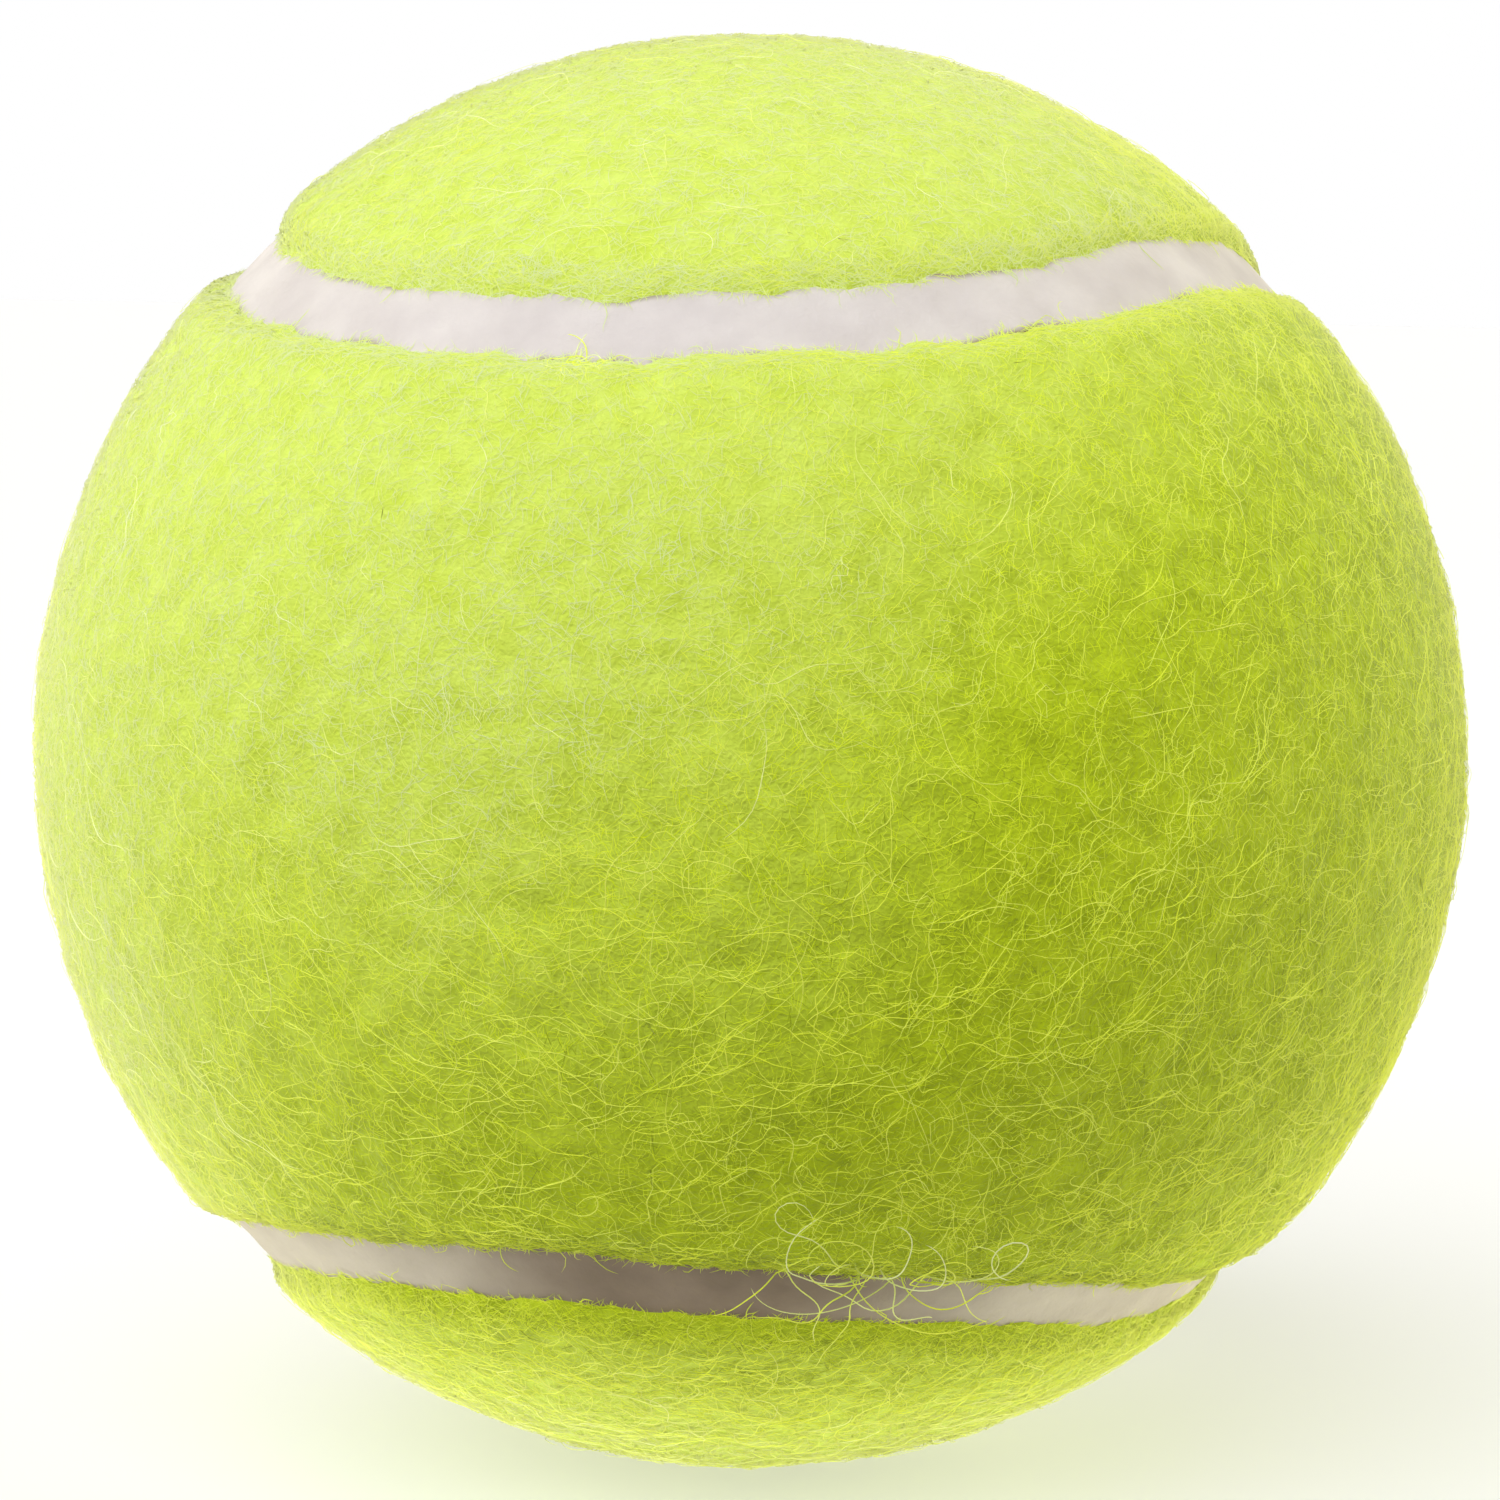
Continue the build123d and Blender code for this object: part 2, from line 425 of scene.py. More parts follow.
def felt_panel(name, side, material):
    """One closed felt panel: a lumpy top with rolled, ragged edges, a smooth back and a cut edge."""
    points, cells = ball_grid(PANEL_CELLS)
    distance, foot, across = nearest_seam(points)
    distance = distance * side
    edge = HALF_GAP + ragged(foot, np.full(len(points), side))
    cell_size = BALL_RADIUS * pi / 2 / PANEL_CELLS
    inside = distance > edge + RIM_SNAP * cell_size

    # Cells that reach into the panel, with their outer points drawn in to the cut edge
    cells = cells[inside[cells].any(axis=1)]
    used, cells = np.unique(cells, return_inverse=True)
    cells = cells.reshape(-1, 4)
    rim = ~inside[used]
    points, distance, edge = points[used], distance[used], edge[used]
    turn = (edge / BALL_RADIUS)[:, None]
    on_edge = foot[used] * np.cos(turn) + across[used] * side * np.sin(turn)
    points = np.where(rim[:, None], on_edge, points)
    distance = np.where(rim, edge, distance)

    height = roll_height(distance - edge + HALF_GAP) + np.where(rim, 0, felt_lumps(points))
    top = points * height[:, None]
    back = points * BACKING_RADIUS

    # Edges that belong to one cell only run round the rim, and carry the cut edge
    pairs = np.concatenate([cells[:, (i, (i + 1) % 4)] for i in range(4)])
    _, where, count = np.unique(np.sort(pairs, axis=1), axis=0, return_inverse=True, return_counts=True)
    rim_pairs = pairs[count[where.ravel()] == 1]
    below = len(points)
    wall = np.concatenate((rim_pairs[:, ::-1], rim_pairs + below), axis=1)
    faces = np.concatenate((cells, cells[:, ::-1] + below, wall))
    return mesh_object(name, np.concatenate((top, back)), faces, material)


def joint_key(point):
    """A seam point, rounded so that the end of one arc matches the start of the next."""
    return tuple(np.round(point, 5))


def seam_line(spacing):
    """Points right round the seam's middle, in order, and the way across to the front panel at each."""
    by_start = {}
    for arc in SEAM_ARCS:
        middle, axis, half_turn = arc
        radius = sqrt(1 - (middle @ axis) ** 2) * BALL_RADIUS
        steps = max(2, round(2 * half_turn * radius / spacing))
        turn = np.linspace(-half_turn, half_turn, steps + 1)[:-1]
        points, across = arc_points(arc, turn)
        last, _ = arc_points(arc, np.array([half_turn]))
        by_start[joint_key(points[0])] = (points, across, joint_key(last[0]))
    start = next(iter(by_start))
    here = start
    line = []
    ways = []
    while True:
        points, across, here = by_start[here]
        line.append(points)
        ways.append(across)
        if here == start:
            return np.concatenate(line), np.concatenate(ways)


def seam_section():
    """Section of the seam as distances from its middle and radii: up one side, over the top and down."""
    top_half = SEAM_HALF + SEAM_TUCK
    top = [(top_half * (2 * step / SEAM_STEPS - 1), SEAM_RADIUS) for step in range(SEAM_STEPS + 1)]
    up = [(-HALF_GAP, COAT_RADIUS), (-HALF_GAP, ROLL_CENTRE)]
    down = [(HALF_GAP, ROLL_CENTRE), (HALF_GAP, COAT_RADIUS)]
    return up + top + down


def seam_ring(name, material):
    """The rubber seam: one closed band that fills the channel, with an uneven, slightly hollow top."""
    line, across = seam_line(SEAM_SPACING)
    section = seam_section()
    top_half = SEAM_HALF + SEAM_TUCK
    ones = np.ones(len(line))
    rags = {side: ragged(line, ones * side) for side in (1, -1)}
    rings = []
    edge = []
    for offset, height in section:
        side = 1 if offset > 0 else -1
        shift = (offset + side * rags[side] * min(1, abs(offset) / HALF_GAP))[:, None]
        points = unit(line + across * shift / BALL_RADIUS)
        radius = np.full(len(line), height)
        if height == SEAM_RADIUS:
            hollow = SEAM_HOLLOW * (1 - (offset / top_half) ** 2)
            radius += layered_noise(points * BALL_RADIUS, SEAM_LUMPS, seed=60) - hollow
            edge.append(min(1, abs(offset) / top_half))
        else:
            edge.append(1)
        rings.append(points * radius[:, None])
    vertices = np.stack(rings, 1)
    stations, width = vertices.shape[:2]
    here = np.arange(stations * width).reshape(stations, width)
    ahead = np.roll(here, -1, 0)
    faces = np.stack((here, np.roll(here, -1, 1), np.roll(ahead, -1, 1), ahead), -1)
    piece = mesh_object(name, vertices.reshape(-1, 3), faces.reshape(-1, 4), material)

    # How near each point lies to the seam's edges, for the painted shade along them
    layer = piece.data.attributes.new("edge", "FLOAT", "POINT")
    layer.data.foreach_set("value", np.tile(np.array(edge, np.float32), stations))
    return piece


def fibre_paths(roots, ahead, length, turns, lifts):
    """Centre lines of fibres that leave their roots one way and wander over the ball's surface.

    turns gives each fibre's heading at its points, and lifts its height there above the surface.
    """
    count, steps = turns.shape
    sideways = np.cross(roots, ahead)
    stride = (length / (steps - 1) / BALL_RADIUS)[:, None]
    forward = np.cumsum(np.cos(turns) * stride, axis=1) - np.cos(turns[:, :1]) * stride
    aside = np.cumsum(np.sin(turns) * stride, axis=1) - np.sin(turns[:, :1]) * stride
    points = roots[:, None] + forward[..., None] * ahead[:, None] + aside[..., None] * sideways[:, None]
    points = unit(points)
    height = surface_height(points.reshape(-1, 3)).reshape(count, steps)
    return points * (height + lifts)[..., None]


def fibre_faces(steps):
    """Faces of one closed fibre: a root, rings of SIDES points and a tip, which is the last point."""
    faces = [tuple(range(SIDES))]
    for ring in range(steps - 2):
        for corner in range(SIDES):
            a, b = SIDES * ring + corner, SIDES * ring + (corner + 1) % SIDES
            faces += [(a, b + SIDES, b), (a, a + SIDES, b + SIDES)]
    last = SIDES * (steps - 2)
    tip = last + SIDES
    faces += [(last + corner, tip, last + (corner + 1) % SIDES) for corner in range(SIDES)]
    return np.array(faces)


def map_fibres(piece, faces, tint, share):
    """Lays each fibre on the piece's maps as a narrow strip: its tint across, its share of length up."""
    rings = len(share) - 1
    across = np.append(np.tile(np.linspace(0, MAP_WIDTH, SIDES), rings), MAP_WIDTH / 2)
    up = np.append(np.repeat(share[:-1], SIDES), share[-1])
    u = (tint[:, None] * MAP_SPAN + across)[:, faces.ravel()]
    v = np.broadcast_to(up[faces.ravel()], u.shape)
    coordinates = np.stack((u, v), -1).astype(np.float32).ravel()
    for map_name in ("fibre", "OFBake"):
        piece.data.uv_layers.new(name=map_name).data.foreach_set("uv", coordinates)


def fibre_mesh(name, paths, thickness, tint, lean, roundness, material):
    """Closed three-sided fibres along paths, tapering to a point, with maps of tint and share of length."""
    count, steps = paths.shape[:2]
    tangent = unit(np.gradient(paths, axis=1))
    side = unit(np.cross(tangent, paths))
    up = np.cross(side, tangent)
    share = np.linspace(0, 1, steps)
    half = (thickness[:, None] / 2 * (1 - TAPER * share**2))[..., None]
    corner_turns = [pi / 2 + 2 * pi * corner / SIDES for corner in range(SIDES)]
    corners = np.stack([paths + half * (cos(turn) * side + sin(turn) * up) for turn in corner_turns], 2)
    rings = corners[:, :-1].reshape(count, -1, 3)
    vertices = np.concatenate((rings, paths[:, -1:]), axis=1)

    faces = fibre_faces(steps)
    starts = np.arange(count)[:, None, None] * vertices.shape[1]
    piece = mesh_object(name, vertices.reshape(-1, 3), (starts + faces).reshape(-1, 3), material)

    # Felt scatters light like one soft surface, so its fibres mostly share the felt's own normal.
    under_tip = 0.99  # share of the tip's radius, at a point straight below it
    middles = np.concatenate((np.repeat(paths[:, :-1], SIDES, 1), paths[:, -1:] * under_tip), 1)
    own = unit(vertices - middles)
    normals = unit(unit(unit(vertices) + lean[:, None]) + roundness * own).reshape(-1, 3)
    piece.data.normals_split_custom_set_from_vertices(normals.tolist())
    map_fibres(piece, faces, tint, share)
    return piece


def random_directions(rng, count):
    """Directions spread evenly over the ball."""
    return unit(rng.normal(size=(count, 3)))


def random_tangents(rng, roots):
    """A random way along the surface at each root."""
    guess = rng.normal(size=roots.shape)
    return unit(guess - roots * dot(guess, roots))


def edge_roots(rng, count, nearest, farthest):
    """Roots along both panels' edges, between two distances from the seam, and the way to the seam."""
    line, across = seam_line(EDGE_SPACING)
    pick = rng.integers(0, len(line), count)
    side = rng.choice((-1, 1), count)
    way = across[pick] * side[:, None]
    back = SEAM_HALF + ragged(line[pick], side) + rng.uniform(nearest, farthest, count)
    turn = (back / BALL_RADIUS)[:, None]
    return line[pick] * np.cos(turn) + way * np.sin(turn), line[pick] * np.sin(turn) - way * np.cos(turn)


def keep_off_seam(ahead, roots, inward, close):
    """Lays the fibres that are close to the seam along it, turned slightly inward."""
    heading = dot(ahead, inward)
    along = ahead - heading * inward + SEAM_TURN * np.abs(heading) * inward
    turned = np.where(close[:, None], along, ahead)
    return unit(turned - roots * dot(turned, roots))


def curls(rng, count, fibre):
    """Headings along fibres: a steady bend either way, with a slower or faster wave on it."""
    share = np.linspace(0, 1, fibre.points)
    steady = rng.normal(0, fibre.bend, (count, 1)) * share
    phase = rng.uniform(0, 2 * pi, (count, 1))
    pace = rng.uniform(*WAVES, (count, 1))
    turns = steady + rng.normal(0, fibre.wave, (count, 1)) * np.sin(pace * pi * share + phase)
    if fibre.fan:
        turns += rng.normal(0, fibre.fan, (count, 1))
    return turns


def arches(rng, count, fibre):
    """Heights along fibres that start in the felt, arch over it and come down again."""
    share = np.linspace(0, 1, fibre.points)
    height = rng.uniform(*fibre.lift, (count, 1))
    part = rng.uniform(*ARCH_PART, (count, 1))
    return height * np.sin(pi * part * share) - ROOT_DEPTH * (1 - share) ** 3


def painted_light_and_blotches(roots):
    """How pale the felt is at directions from the centre, from 0 to 1: painted light and shade by its
    sides, and blotches.
    """
    pale = layered_noise(roots * BALL_RADIUS, BLOTCHES, seed=80)
    for azimuth, elevation, start, whole, level in PAINTED_LIGHT_SIDES:
        toward = roots @ np.array(direction(azimuth, elevation))
        pale += level * smooth(np.clip((toward - start) / (whole - start), 0, 1))
    return np.clip(pale, 0, 1)


def panel_fibres(kind, roots, paths, thickness, tint, roundness, material):
    """Fibre pieces of each panel, with at most PIECE_POINTS points in each."""
    distance, _, _ = nearest_seam(roots)
    lean = edge_lean(roots)
    pieces = {}
    for panel, chosen in (("front", distance > 0), ("back", distance < 0)):
        pieces[panel] = []
        if not chosen.any():
            continue
        index = np.flatnonzero(chosen)
        parts = ceil(len(index) * paths.shape[1] / PIECE_POINTS)
        for number, part in enumerate(np.array_split(index, parts), 1):
            name = f"{kind}_{panel}_{number}"
            piece = fibre_mesh(
                name, paths[part], thickness[part], tint[part], lean[part], roundness, material
            )
            piece.visible_shadow = False
            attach(piece, "root")
            pieces[panel].append(piece)
    return pieces


def grow(rng, kind, fibre, roots, ahead, length, turns, roundness, material):
    """Fibres of one kind from their roots, headings and lengths, tinted by the painted light and blotches
    at their places and by chance.
    """
    count = len(roots)
    paths = fibre_paths(roots, ahead, length, turns, arches(rng, count, fibre))
    thickness = rng.uniform(*fibre.thickness, count)
    tint = LIGHT_AND_BLOTCH_SHARE * painted_light_and_blotches(roots) + (1 - LIGHT_AND_BLOTCH_SHARE) * rng.uniform(*fibre.chance, count)
    return panel_fibres(kind, roots, paths, thickness, tint, roundness, material)


def nap(material):
    """Short fibres that cover both panels."""
    rng = np.random.default_rng(1)
    beside, _ = edge_roots(rng, EDGE_NAP_COUNT, *EDGE_NAP_REACH)
    roots = np.concatenate((random_directions(rng, NAP_COUNT), beside))
    distance, foot, across = nearest_seam(roots)
    side = np.sign(distance)
    room = np.abs(distance) - SEAM_HALF - ragged(foot, side)
    clear = room > NAP_CLEAR
    roots, room, inward = roots[clear], room[clear], (across * side[:, None])[clear]
    count = len(roots)
    length = rng.uniform(*NAP.length, count)
    close = room < length
    ahead = keep_off_seam(random_tangents(rng, roots), roots, inward, close)
    turns = curls(rng, count, NAP) * np.where(close, CLOSE_CURL, 1)[:, None]
    return grow(rng, "nap", NAP, roots, ahead, length, turns, NAP_ROUNDNESS, material)


def edge_fibres(kind, fibre, count, reach, material, seed):
    """Fibres that leave the panels' edges for the seam."""
    rng = np.random.default_rng(seed)
    roots, ahead = edge_roots(rng, count, *reach)
    length = rng.uniform(*fibre.length, count)
    turns = curls(rng, count, fibre)
    return grow(rng, kind, fibre, roots, ahead, length, turns, NAP_ROUNDNESS, material)


def strays(material):
    """Long curly fibres that have worked loose and lie over the nap, mostly low down and fewer where the
    felt is painted paler.
    """
    rng = np.random.default_rng(3)
    roots = random_directions(rng, STRAY_COUNT)
    distance, _, across = nearest_seam(roots)
    room = np.abs(distance) - SEAM_HALF
    by_height = np.clip(STRAY_KEPT - STRAY_FALL * roots[:, 2], STRAY_LEAST, 1)
    chance = by_height * (1 - STRAY_PALE_LOSS * painted_light_and_blotches(roots))
    loose = rng.uniform(size=STRAY_COUNT) < chance
    clear = loose & (room > STRAY_CLEAR)
    roots, room, inward = roots[clear], room[clear], (across * np.sign(distance)[:, None])[clear]
    count = len(roots)
    length = np.minimum(rng.uniform(*STRAY.length, count), STRAY_ROOM * room)
    ahead = keep_off_seam(random_tangents(rng, roots), roots, inward, room < length)
    turns = curls(rng, count, STRAY)
    return grow(rng, "stray", STRAY, roots, ahead, length, turns, STRAY_ROUNDNESS, material)


def tufts(material):
    """Loose fibres that have sprung out of the front panel's edge, over the seam."""
    rng = np.random.default_rng(4)
    roots = []
    paths = []
    for azimuth, elevation, count, spread, fibre in LOOSE_TUFTS:
        middle = np.array([direction(azimuth, elevation)])
        _, foot, across = nearest_seam(middle)
        aside = rng.normal(0, spread, (count, 1))
        back = rng.uniform(*TUFT_REACH, (count, 1)) + SEAM_HALF
        root = unit(foot * BALL_RADIUS + np.cross(foot, across) * aside + across * back)
        ahead = unit(root * dot(across, root) - across)
        length = rng.uniform(*fibre.length, count)
        turns = curls(rng, count, fibre)
        roots.append(root)
        paths.append(fibre_paths(root, ahead, length, turns, arches(rng, count, fibre)))
    roots = np.concatenate(roots)
    thickness = rng.uniform(*TUFT.thickness, len(roots))
    tint = rng.uniform(size=len(roots))
    return panel_fibres("tuft", roots, np.concatenate(paths), thickness, tint, STRAY_ROUNDNESS, material)


class Nodes:
    """The nodes of a material, or of the world, under construction."""

    def __init__(self, owner):
        owner.use_nodes = True
        self.owner = owner
        self.tree = owner.node_tree
        self.shader = self.tree.nodes.get("Principled BSDF")

    def add(self, kind, **settings):
        node = self.tree.nodes.new("ShaderNode" + kind)
        for setting, value in settings.items():
            setattr(node, setting, value)
        return node

    def link(self, source, target):
        self.tree.links.new(source, target)

    def feed(self, value, socket):
        """Gives a socket another node's output, or a fixed number or colour."""
        if isinstance(value, bpy.types.NodeSocket):
            self.link(value, socket)
        else:
            socket.default_value = (*value, 1) if socket.type == "RGBA" else value

    def noise(self, size, detail):
        """Noise over the object's own coordinates with lumps of about the given size."""
        texture = self.add("TexNoise")
        texture.inputs["Scale"].default_value = 1 / size
        texture.inputs["Detail"].default_value = detail
        self.link(self.add("TexCoord").outputs["Object"], texture.inputs["Vector"])
        return texture.outputs["Fac"]

    def ramp(self, value, stops):
        """Colours run through by a value, given as positions and colours."""
        ramp = self.add("ValToRGB")
        elements = ramp.color_ramp.elements
        while len(elements) < len(stops):
            elements.new(0.5)
        for element, (position, colour) in zip(elements, stops):
            element.position = position
            element.color = (*colour, 1)
        self.link(value, ramp.inputs["Fac"])
        return ramp.outputs["Color"]

    def grade(self, value, low, high, start=0.0, end=1.0):
        """A smooth change from start to end as a value goes from low to high."""
        grade = self.add("MapRange", interpolation_type="SMOOTHSTEP")
        for socket, level in (("From Min", low), ("From Max", high), ("To Min", start), ("To Max", end)):
            grade.inputs[socket].default_value = level
        self.link(value, grade.inputs["Value"])
        return grade.outputs["Result"]

    def distance(self, middle):
        """How far a point of the object lies from a fixed point."""
        away = self.add("VectorMath", operation="DISTANCE")
        away.inputs[1].default_value = middle
        self.link(self.add("TexCoord").outputs["Object"], away.inputs[0])
        return away.outputs["Value"]

    def toward(self, side, space="Object"):
        """How far a point of the object, or a direction of the world, lies toward a side."""
        along = self.add("VectorMath", operation="DOT_PRODUCT")
        along.inputs[1].default_value = side
        self.link(self.add("TexCoord").outputs[space], along.inputs[0])
        return along.outputs["Value"]

    def math(self, operation, first, second, clamp=False):
        """A calculation with two values, each another node's output or a fixed number."""
        result = self.add("Math", operation=operation, use_clamp=clamp)
        self.feed(first, result.inputs[0])
        self.feed(second, result.inputs[1])
        return result.outputs["Value"]

    def mix(self, share, first, second):
        """A colour between two others, either of which may be fixed."""
        mixer = self.add("Mix", data_type="RGBA")
        factor, first_colour, second_colour = mixer.inputs[0], mixer.inputs[6], mixer.inputs[7]
        self.link(share, factor)
        self.feed(first, first_colour)
        self.feed(second, second_colour)
        return mixer.outputs[2]

    def mix_shaders(self, share, first, second, output):
        """Shows a mixture of two shaders at the tree's output."""
        mixer = self.add("MixShader")
        self.link(share, mixer.inputs[0])
        self.link(first, mixer.inputs[1])
        self.link(second, mixer.inputs[2])
        self.link(mixer.outputs["Shader"], self.tree.nodes[output].inputs["Surface"])

    def bump(self, height, depth, strength):
        """A fine relief on the shader's normal."""
        bump = self.add("Bump")
        bump.inputs["Distance"].default_value = depth
        bump.inputs["Strength"].default_value = strength
        self.link(height, bump.inputs["Height"])
        self.link(bump.outputs["Normal"], self.shader.inputs["Normal"])

    def seen_directly(self):
        """1 for rays that show the surroundings: from the camera, in gloss and through glass."""
        path = self.add("LightPath")
        seen = path.outputs["Is Camera Ray"]
        for kind in ("Is Glossy Ray", "Is Transmission Ray"):
            seen = self.math("MAXIMUM", seen, path.outputs[kind])
        return seen


def new_material(name):
    """The nodes of a new material."""
    return Nodes(bpy.data.materials.new(name))


def felt_base_material():
    """The felt under its nap: deep lime, painted paler on its lit sides and darker on a shaded side,
    blotched, and full of fine shadow.
    """
    m = new_material("felt_base")
    blotches = m.noise(size=1.4 * MM, detail=4)
    # Partly painted shade: the base is darker than its nap, for the shade that the fibres, which cast none,
    # would throw on it.
    deep = m.ramp(blotches, ((0.3, (0.38, 0.48, 0.003)), (0.7, (0.56, 0.69, 0.008))))
    pale = m.ramp(blotches, ((0.3, (0.62, 0.75, 0.07)), (0.7, (0.70, 0.83, 0.14))))
    colour = deep
    for azimuth, elevation, start, whole, level in PAINTED_LIGHT_SIDES:
        along = m.toward(direction(azimuth, elevation))
        # Painted light and shade by side. A share below 0, on the side painted in shade, counts as 0 here.
        share = m.grade(along, start * BALL_RADIUS, whole * BALL_RADIUS, end=level)
        colour = m.mix(share, colour, pale)
    m.link(colour, m.shader.inputs["Base Color"])
    m.shader.inputs["Roughness"].default_value = 0.95
    m.shader.inputs["Specular IOR Level"].default_value = 0.1
    m.shader.inputs["Sheen Weight"].default_value = 0.25
    m.shader.inputs["Sheen Roughness"].default_value = 0.5
    m.bump(m.noise(size=0.22 * MM, detail=3), depth=0.15 * MM, strength=0.8)
    return m.owner


def fibre_material(name, tints, roots):
    """Dyed fibres whose shade varies from one to the next, partly as painted light from their places, and
    is deeper at the root, partly as painted shade among the fibres.
    """
    m = new_material(name)
    place = m.add("UVMap", uv_map="fibre")
    split = m.add("SeparateXYZ")
    m.link(place.outputs["UV"], split.inputs["Vector"])
    shade = m.ramp(split.outputs["X"], tints)
    # Partly painted shade: the roots are deeper, down among the other fibres.
    root = m.ramp(split.outputs["X"], roots)
    rise = m.ramp(split.outputs["Y"], ((0.0, (0, 0, 0)), (ROOT_SHARE, (1, 1, 1))))
    m.link(m.mix(rise, root, shade), m.shader.inputs["Base Color"])
    m.shader.inputs["Roughness"].default_value = 0.8
    m.shader.inputs["Specular IOR Level"].default_value = 0.04
    m.shader.inputs["Sheen Weight"].default_value = 1.0
    m.shader.inputs["Sheen Tint"].default_value = (1, 1, 0.5, 1)
    m.shader.inputs["Sheen Roughness"].default_value = 0.5
    return m.owner


def nap_material():
    """Nap from olive and deep lime to pale lime, picked by chance and by the painted light and shade at
    each fibre's place.
    """
    tints = (
        (0.0, (0.25, 0.33, 0.001)),
        (0.12, (0.54, 0.68, 0.004)),
        (0.25, (0.80, 0.93, 0.013)),
        (0.5, (0.86, 0.96, 0.08)),
        (0.75, (0.75, 0.84, 0.25)),
        (1.0, (0.73, 0.81, 0.43)),
    )
    roots = ((0.0, (0.24, 0.32, 0.001)), (0.3, (0.57, 0.71, 0.006)), (1.0, (0.74, 0.86, 0.22)))
    return fibre_material("felt_nap", tints, roots)


def stray_material():
    """Bright lime to pale stray fibres, picked by chance and by the painted light at each fibre's place."""
    tints = ((0.0, (0.88, 0.97, 0.04)), (0.5, (0.88, 0.97, 0.14)), (1.0, (0.92, 0.97, 0.50)))
    roots = ((0.0, (0.56, 0.68, 0.03)), (1.0, (0.62, 0.74, 0.08)))
    return fibre_material("felt_stray", tints, roots)


def seam_material():
    """Matt off-white rubber with a fine grain, painted in shade toward the bottom, with one darker stretch
    and painted shade along its edges.
    """
    m = new_material("seam_rubber_white")
    patches = m.noise(size=3.5 * MM, detail=4)
    plain_rubber = m.ramp(patches, ((0.3, (0.59, 0.525, 0.46)), (0.7, (0.71, 0.645, 0.56))))
    dark_rubber = m.ramp(patches, ((0.3, (0.19, 0.135, 0.095)), (0.7, (0.28, 0.21, 0.155))))
    seam_edge_shade = (0.30, 0.25, 0.12)

    # Painted shade: the seam darkens toward the bottom.
    below = m.grade(m.toward((0, 0, -1)), *SEAM_SHADE_DEPTHS, end=UNDERSIDE_SHADE)
    colour = m.mix(below, plain_rubber, dark_rubber)
    # A darker stretch of seam.
    middle = Vector(direction(*DARK_STRETCH_PLACE)) * SEAM_RADIUS
    stretch = m.grade(m.distance(middle), DARK_STRETCH_CORE, DARK_STRETCH_REACH, start=1.0, end=0.0)
    colour = m.mix(stretch, colour, dark_rubber)
    # Painted shade in runs along the seam's edges, under the felt's overhang.
    nearness = m.add("Attribute", attribute_name="edge").outputs["Fac"]
    edges = m.grade(nearness, low=0.72, high=0.95)
    runs = m.grade(m.noise(size=5 * MM, detail=4), low=0.45, high=0.62)
    colour = m.mix(m.math("MULTIPLY", edges, runs), colour, seam_edge_shade)
    m.link(colour, m.shader.inputs["Base Color"])
    m.shader.inputs["Roughness"].default_value = 0.7
    m.bump(m.noise(size=0.3 * MM, detail=4), depth=0.06 * MM, strength=0.6)
    return m.owner


def rubber_material(name, dark, pale, lump, roughness):
    """Moulded or spread rubber: uneven colour and a fine grain."""
    m = new_material(name)
    grain = lump / 6
    colour = m.ramp(m.noise(size=lump, detail=5), ((0.3, dark), (0.7, pale)))
    m.link(colour, m.shader.inputs["Base Color"])
    m.shader.inputs["Roughness"].default_value = roughness
    m.bump(m.noise(size=grain, detail=3), depth=0.05 * MM, strength=0.5)
    return m.owner


def dress_inner_nodes():
    """Finishes of the CAD solids inside the ball, which keep their shapes."""
    core = rubber_material("core_rubber", (0.045, 0.04, 0.036), (0.075, 0.068, 0.06), 4 * MM, 0.65)
    cement = rubber_material("rubber_cement", (0.30, 0.24, 0.15), (0.42, 0.35, 0.23), 2 * MM, 0.45)
    backing = rubber_material("felt_backing", (0.42, 0.50, 0.10), (0.55, 0.62, 0.18), 1 * MM, 0.8)
    finishes = {
        "core_half_upper": core,
        "core_half_lower": core,
        "core_joint_cement": cement,
        "core_coat": cement,
        "felt_backing_front": backing,
        "felt_backing_back": backing,
    }
    for node, material in finishes.items():
        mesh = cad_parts[node].data
        mesh.materials.clear()
        mesh.materials.append(material)


def place_round(thing, azimuth, elevation, distance, roll=0.0):
    """Puts a camera or lamp at angles and a distance from the ball's centre, looking at it."""
    away = Vector(direction(azimuth, elevation))
    thing.location = away * distance
    thing.rotation_mode = "QUATERNION"
    thing.rotation_quaternion = (-away).to_track_quat("-Z", "Y") @ Quaternion((0, 0, 1), radians(roll))


def surroundings():
    """Soft light from all round, dimmer from one side, which shows as plain white."""
    world = bpy.data.worlds.new("studio")
    bpy.context.scene.world = world
    m = Nodes(world)
    light = m.tree.nodes["Background"]
    m.feed(WORLD_COLOUR, light.inputs["Color"])
    away, toward = WORLD_LEVELS
    level = m.grade(m.toward(DIM_SIDE, "Generated"), *DIM_RANGE, start=away, end=toward)
    m.link(level, light.inputs["Strength"])
    white = m.add("Background")
    m.feed((1, 1, 1), white.inputs["Color"])
    m.mix_shaders(
        m.seen_directly(), light.outputs["Background"], white.outputs["Background"], "World Output"
    )


def floor_material():
    """White floor with the ball's shadow, which throws little light up in front of the ball."""
    m = new_material("studio_floor")
    seen = m.seen_directly()
    nearer = m.toward(direction(CAMERA_AZIMUTH, 0))
    front = m.math("SUBTRACT", m.grade(nearer, *FLOOR_CHANGE), seen, clamp=True)
    m.link(m.mix(front, FLOOR_COLOUR, FLOOR_DARK), m.shader.inputs["Base Color"])
    behind = m.grade(nearer, *FLOOR_CHANGE, start=FLOOR_GLOW, end=0.0)
    m.link(m.math("SUBTRACT", behind, seen, clamp=True), m.shader.inputs["Emission Strength"])
    m.shader.inputs["Emission Color"].default_value = (1, 0.98, 0.80, 1)
    m.shader.inputs["Roughness"].default_value = 1
    m.shader.inputs["Specular IOR Level"].default_value = 0
    share = m.math("MULTIPLY", seen, FLOOR_WHITE)
    white = m.add("Emission")
    m.mix_shaders(share, m.shader.outputs["BSDF"], white.outputs["Emission"], "Material Output")
    return m.owner


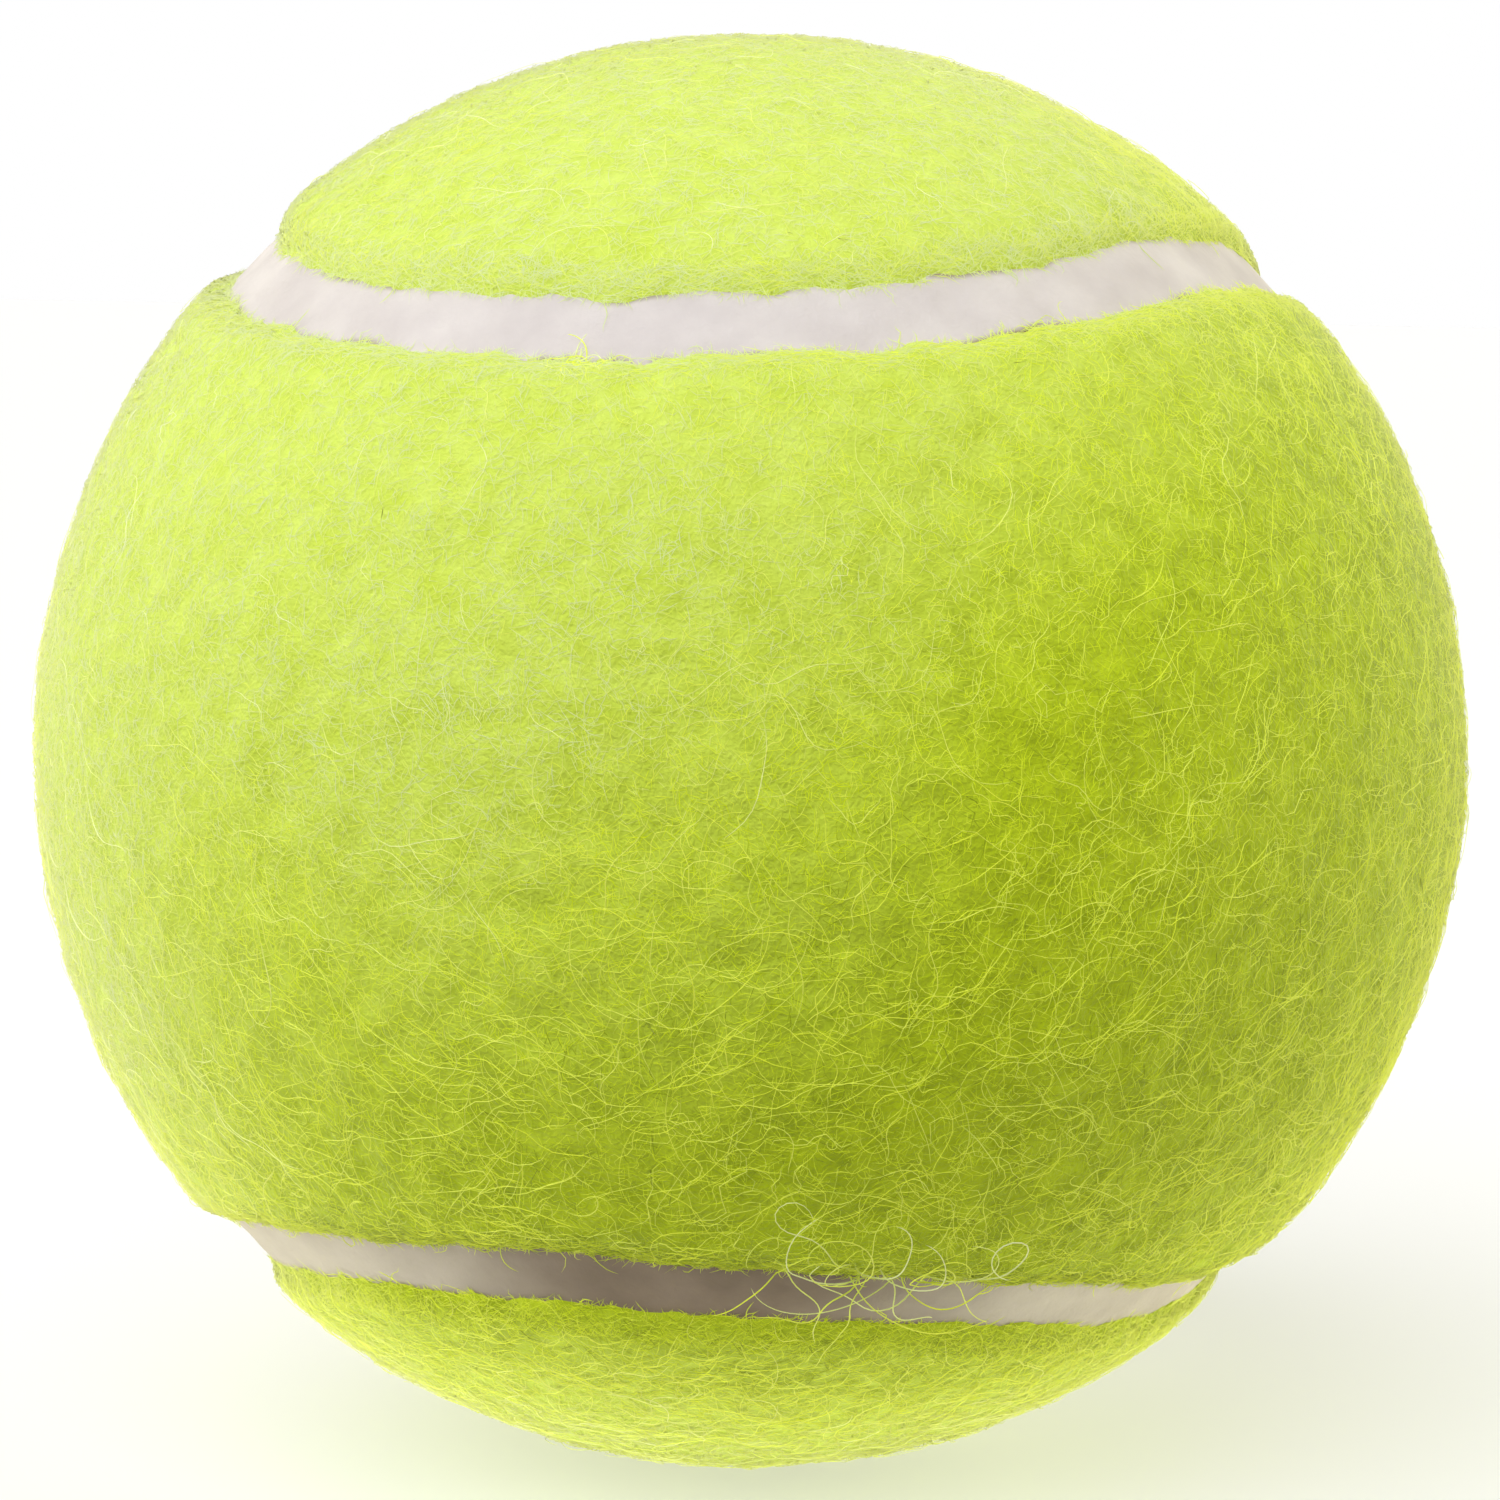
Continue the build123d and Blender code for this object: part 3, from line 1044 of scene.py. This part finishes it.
def floor():
    """Plain floor that the ball rests on."""
    half = FLOOR_HALF
    corners = np.array(((-half, -half, 0), (half, -half, 0), (half, half, 0), (-half, half, 0)))
    plane = mesh_object("floor", corners, np.array(((0, 1, 2, 3),)), floor_material())
    plane.location.z = cad_box[0].z - FLOOR_DROP


def lamps():
    """A broad key light from above the camera and to its left, and a weak lamp on each side."""
    key = bpy.data.lights.new("key", "SUN")
    key.angle = radians(KEY_SPREAD)
    key.energy = KEY_ENERGY
    key.color = KEY_COLOUR
    place_round(in_scene("key", key), *KEY_PLACE, KEY_DISTANCE)

    for name, energy, azimuth in SIDE_LAMPS:
        side = bpy.data.lights.new(name, "AREA")
        side.size = SIDE_LAMP_SIZE
        side.energy = energy
        side.color = SIDE_LAMP_COLOUR
        place_round(in_scene(name, side), azimuth, SIDE_LAMP_ELEVATION, SIDE_LAMP_DISTANCE)


def photo_camera():
    """Camera at the photograph's viewing angle."""
    lens = bpy.data.cameras.new("camera")
    lens.sensor_width = SENSOR_WIDTH
    lens.lens = FOCAL_PIXELS / PHOTO_SIZE * SENSOR_WIDTH
    lens.clip_start = CLIP_START
    camera = in_scene("camera", lens)
    place_round(camera, CAMERA_AZIMUTH, CAMERA_ELEVATION, CAMERA_DISTANCE, CAMERA_ROLL)
    bpy.context.scene.camera = camera


def felt():
    """Both felt panels with their nap, fuzz, fringe and stray fibres."""
    base = felt_base_material()
    short = nap_material()
    long = stray_material()
    fibres = [
        nap(short),
        edge_fibres("fuzz", FUZZ, FUZZ_COUNT, FUZZ_REACH, short, seed=5),
        edge_fibres("fringe", FRINGE, FRINGE_COUNT, FRINGE_REACH, short, seed=2),
        strays(long),
        tufts(long),
    ]
    for panel, side in (("front", 1), ("back", -1)):
        piece = felt_panel(f"felt_{panel}", side, base)
        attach(piece, "root")
        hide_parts(f"felt_panel_{panel}")


def seam():
    """The rubber seam between the panels."""
    piece = seam_ring("seam", seam_material())
    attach(piece, "root")
    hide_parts("seam_rubber")


bpy.context.scene.view_settings.view_transform = "Standard"
photo_camera()
surroundings()
floor()
lamps()
dress_inner_nodes()
felt()
seam()
